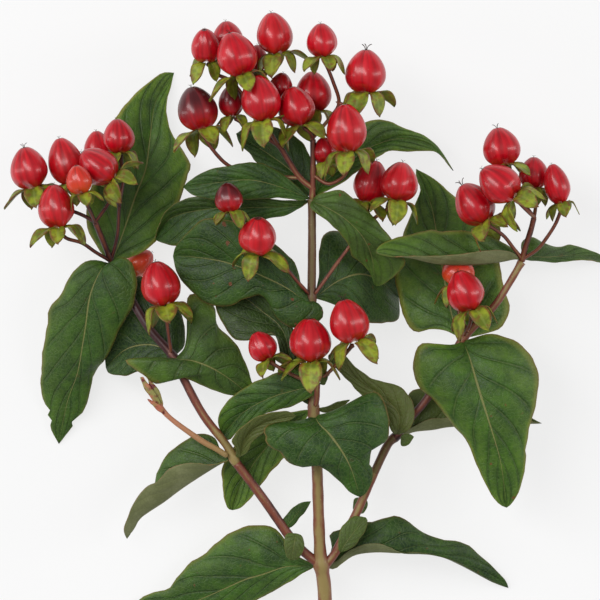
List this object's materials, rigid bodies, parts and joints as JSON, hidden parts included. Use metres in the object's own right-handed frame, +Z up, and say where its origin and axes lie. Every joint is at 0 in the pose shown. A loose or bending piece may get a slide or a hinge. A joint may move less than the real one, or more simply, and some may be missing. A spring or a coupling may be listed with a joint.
{
  "type": "hypericum berry stem",
  "caption": "Cut branching hypericum stem lying flat, with opposite pointed leaves and clusters of glossy red berries in leafy green sepals.",
  "frame": {"origin": "Middle of the lying spray's bounding box in X and Y, at the surface it lies on.", "axes": "+Y runs along the stem from the cut end to the top berries, +X to the right of the spray seen from above, +Z up from the surface."},
  "size_m": [0.2004, 0.2564, 0.0583],
  "materials": {
    "stem": "satin red-brown to olive young bark",
    "stalk": "satin maroon bark",
    "leaf": "dark green leaf, satin",
    "leaf_pale": "olive leaf underside, matte",
    "berry": "glossy red berry skin"
  },
  "bodies": {
    "root": {"main_stem": "stem", "branch_left_low": "stem", "branch_left_high": "stem", "branch_right_low": "stem", "branch_right_high": "stem", "side_shoot": "stem", "stalks_left": "stalk", "stalks_top": "stalk", "stalks_right": "stalk", "stalks_low": "stalk", "stalks_mid_left": "stalk", "stalks_mid_right": "stalk", "berry_left_axil": "berry", "berries_right_axil": "berry", "berry_left_1": "berry", "berry_left_2": "berry", "berry_left_3": "berry", "berry_left_4": "berry", "berry_left_5": "berry", "berry_top_1": "berry", "berry_top_2": "berry", "berry_top_3": "berry", "berry_top_4": "berry", "berry_top_5": "berry", "berry_top_6": "berry", "berry_top_7": "berry", "berry_top_8": "berry", "berry_top_9": "berry", "berry_right_1": "berry", "berry_right_2": "berry", "berry_right_3": "berry", "berry_right_4": "berry", "berry_low_1": "berry", "berry_low_3": "berry", "leaf_left_top_upper": "leaf", "leaf_left_top_lower": "leaf", "leaf_left_mid_right": "leaf", "leaf_left_mid_left": "leaf", "leaf_left_low_left": "leaf_pale", "leaf_left_low_right": "leaf_pale", "leaf_main_mid_olive": "leaf_pale", "leaf_main_mid_upper": "leaf", "leaf_main_mid_front": "leaf", "leaf_main_mid_right": "leaf_pale", "leaf_right_low_left": "leaf_pale", "leaf_right_low_right": "leaf", "leaf_right_mid_lower": "leaf", "leaf_right_mid_upper": "leaf", "leaf_right_top_left": "leaf", "leaf_right_top_right": "leaf", "leaf_main_top_back_right": "leaf", "leaf_main_top_back_left": "leaf", "leaf_main_top_right": "leaf", "leaf_main_top_left": "leaf", "leaf_main_top_low_left": "leaf", "leaf_main_high_left": "leaf", "leaf_main_high_low_left": "leaf_pale", "leaf_main_high_right": "leaf", "leaf_main_low_left": "leaf", "leaf_main_low_right": "leaf"}
  },
  "joints": []
}
